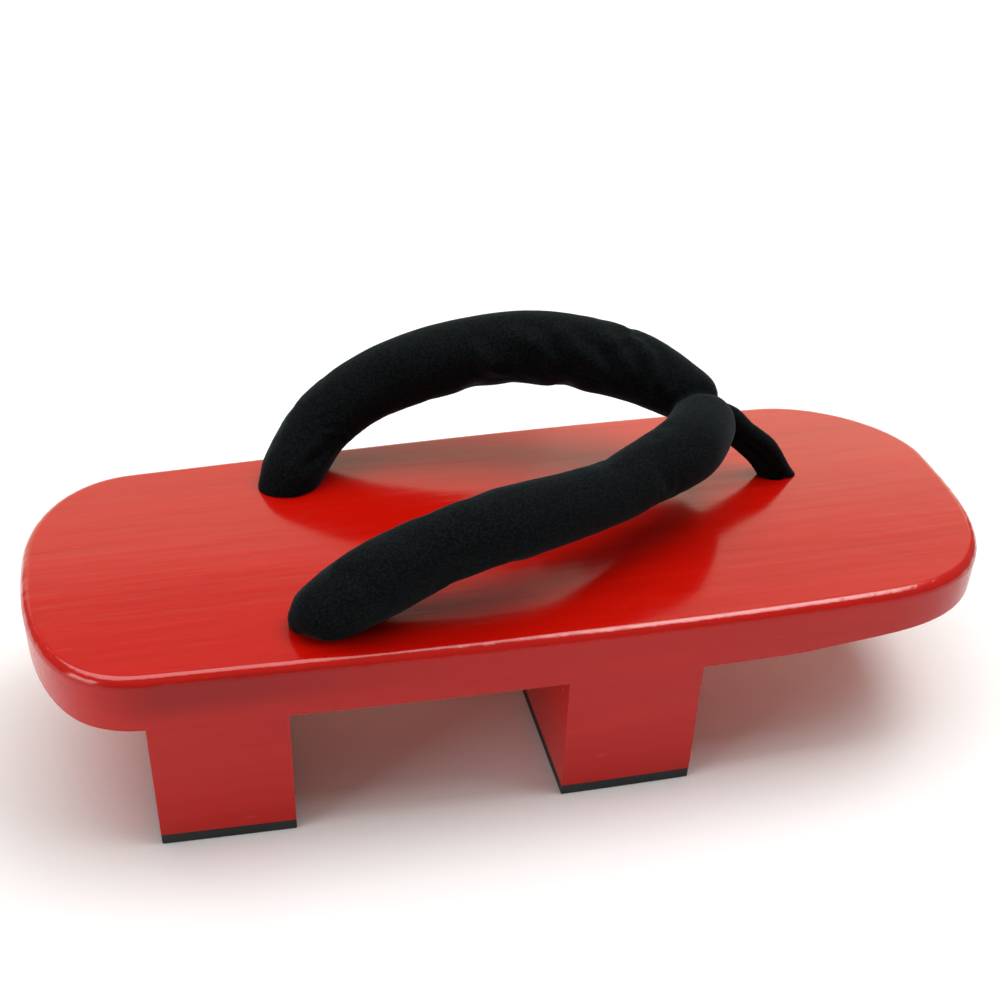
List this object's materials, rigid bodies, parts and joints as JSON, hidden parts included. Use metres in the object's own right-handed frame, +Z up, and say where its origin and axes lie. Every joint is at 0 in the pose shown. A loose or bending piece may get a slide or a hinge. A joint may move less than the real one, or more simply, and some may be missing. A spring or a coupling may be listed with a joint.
{
  "type": "geta sandal",
  "caption": "Right geta sandal: a lacquered wooden platform on two teeth with rubber treads, a padded cloth strap folded to a V, and a cloth toe post.",
  "frame": {"origin": "on the floor, under the middle of the sandal's box", "axes": "+X points to the toe, +Y to the inner side of the foot, +Z up from the floor"},
  "size_m": [0.24, 0.096, 0.0895],
  "materials": {
    "lacquered_wood": "glossy red lacquer",
    "tread_rubber": "matt black",
    "strap_cloth": "matt black crepe"
  },
  "bodies": {
    "root": {"platform": "lacquered_wood", "rear_tread": "tread_rubber", "front_tread": "tread_rubber", "strap": "strap_cloth", "toe_post": "strap_cloth"}
  },
  "joints": []
}
